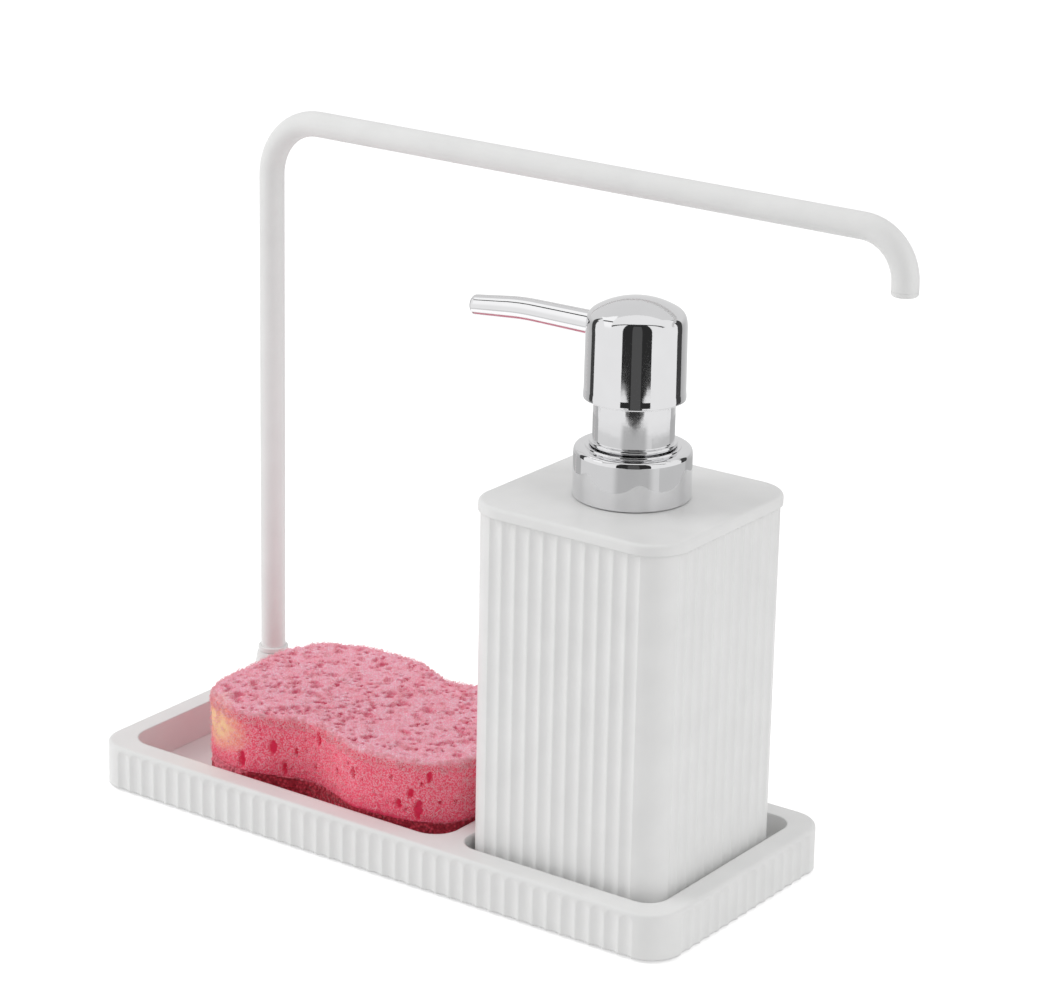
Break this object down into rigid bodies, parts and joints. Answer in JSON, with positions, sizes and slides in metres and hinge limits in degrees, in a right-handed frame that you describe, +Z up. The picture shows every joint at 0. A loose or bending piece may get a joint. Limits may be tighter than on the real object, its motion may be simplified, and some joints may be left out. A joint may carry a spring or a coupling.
{
  "type": "soap pump caddy",
  "caption": "Fluted tray that holds a wavy sponge beside a square fluted bottle with a swivelling press pump, under a bent tube rail for a cloth.",
  "frame": {"origin": "on the surface the caddy stands on, under the middle of the whole outline, which runs from the tray's end to the rail's free tip", "axes": "+X along the tray from the sponge's well to the bottle's well, +Y from the front to the back where the rail stands, +Z up"},
  "size_m": [0.2282, 0.0862, 0.1959],
  "materials": {
    "tray_white": "satin moulded white",
    "bottle_white": "soft-sheen moulded white",
    "rail_white": "white powder coat",
    "chrome": "bright plated",
    "pump_plastic": "moulded",
    "clear_plastic": "milky",
    "pad_rubber": "matt",
    "gasket_rubber": "matt",
    "foam": "open-cell foam",
    "scrub": "coarse scrub layer",
    "steel": "plain",
    "brass": "plain"
  },
  "bodies": {
    "tray": {"tray": "tray_white", "foot_pads": "pad_rubber", "rail_tube": "rail_white", "rail_end_cap": "rail_white", "rail_base_ring": "rail_white", "rail_insert": "brass", "rail_screw": "steel", "rail_washer": "steel"},
    "sponge": {"sponge_foam": "foam", "sponge_scrub_layer": "scrub"},
    "bottle": {"bottle_body": "bottle_white", "bottle_top": "bottle_white"},
    "pump": {"pump_housing": "pump_plastic", "neck_gasket": "gasket_rubber", "lock_ring": "pump_plastic", "guide_sleeve": "chrome", "dip_tube": "clear_plastic"},
    "ball": {"valve_ball": "steel"},
    "collar": {"collar_shell": "chrome", "screw_cap": "pump_plastic"},
    "swivel": {"return_spring": "steel"},
    "head": {"head_shell": "chrome", "head_core": "pump_plastic", "spout": "chrome", "pump_stem": "pump_plastic", "piston_rod": "pump_plastic", "piston_seal": "gasket_rubber"}
  },
  "joints": [
    {"name": "sponge_lift", "type": "slide", "parent": "tray", "child": "sponge", "axis": [0, 0, 1], "range_m": [0, 0.04]},
    {"name": "bottle_lift", "type": "slide", "parent": "tray", "child": "bottle", "axis": [0, 0, 1], "range_m": [0, 0.07]},
    {"name": "pump_lift", "type": "slide", "parent": "bottle", "child": "pump", "axis": [0, 0, 1], "range_m": [0, 0.12]},
    {"name": "ball_lift", "type": "slide", "parent": "pump", "child": "ball", "axis": [0, 0, 1], "range_m": [0, 0.0012]},
    {"name": "collar_unscrew", "type": "hinge", "parent": "pump", "child": "collar", "pos_m": [0.0481, -0.0019, 0.1155], "axis": [0, 0, 1], "range_deg": [0, 450]},
    {"name": "head_swivel", "type": "hinge", "parent": "pump", "child": "swivel", "pos_m": [0.0481, -0.0019, 0.1431], "axis": [0, 0, 1], "continuous": true},
    {"name": "head_press", "type": "slide", "parent": "swivel", "child": "head", "axis": [0, 0, 1], "range_m": [-0.01, 0], "stiffness_N_per_m": 350, "springref_m": 0.012, "deforming": ["return_spring"]}
  ]
}
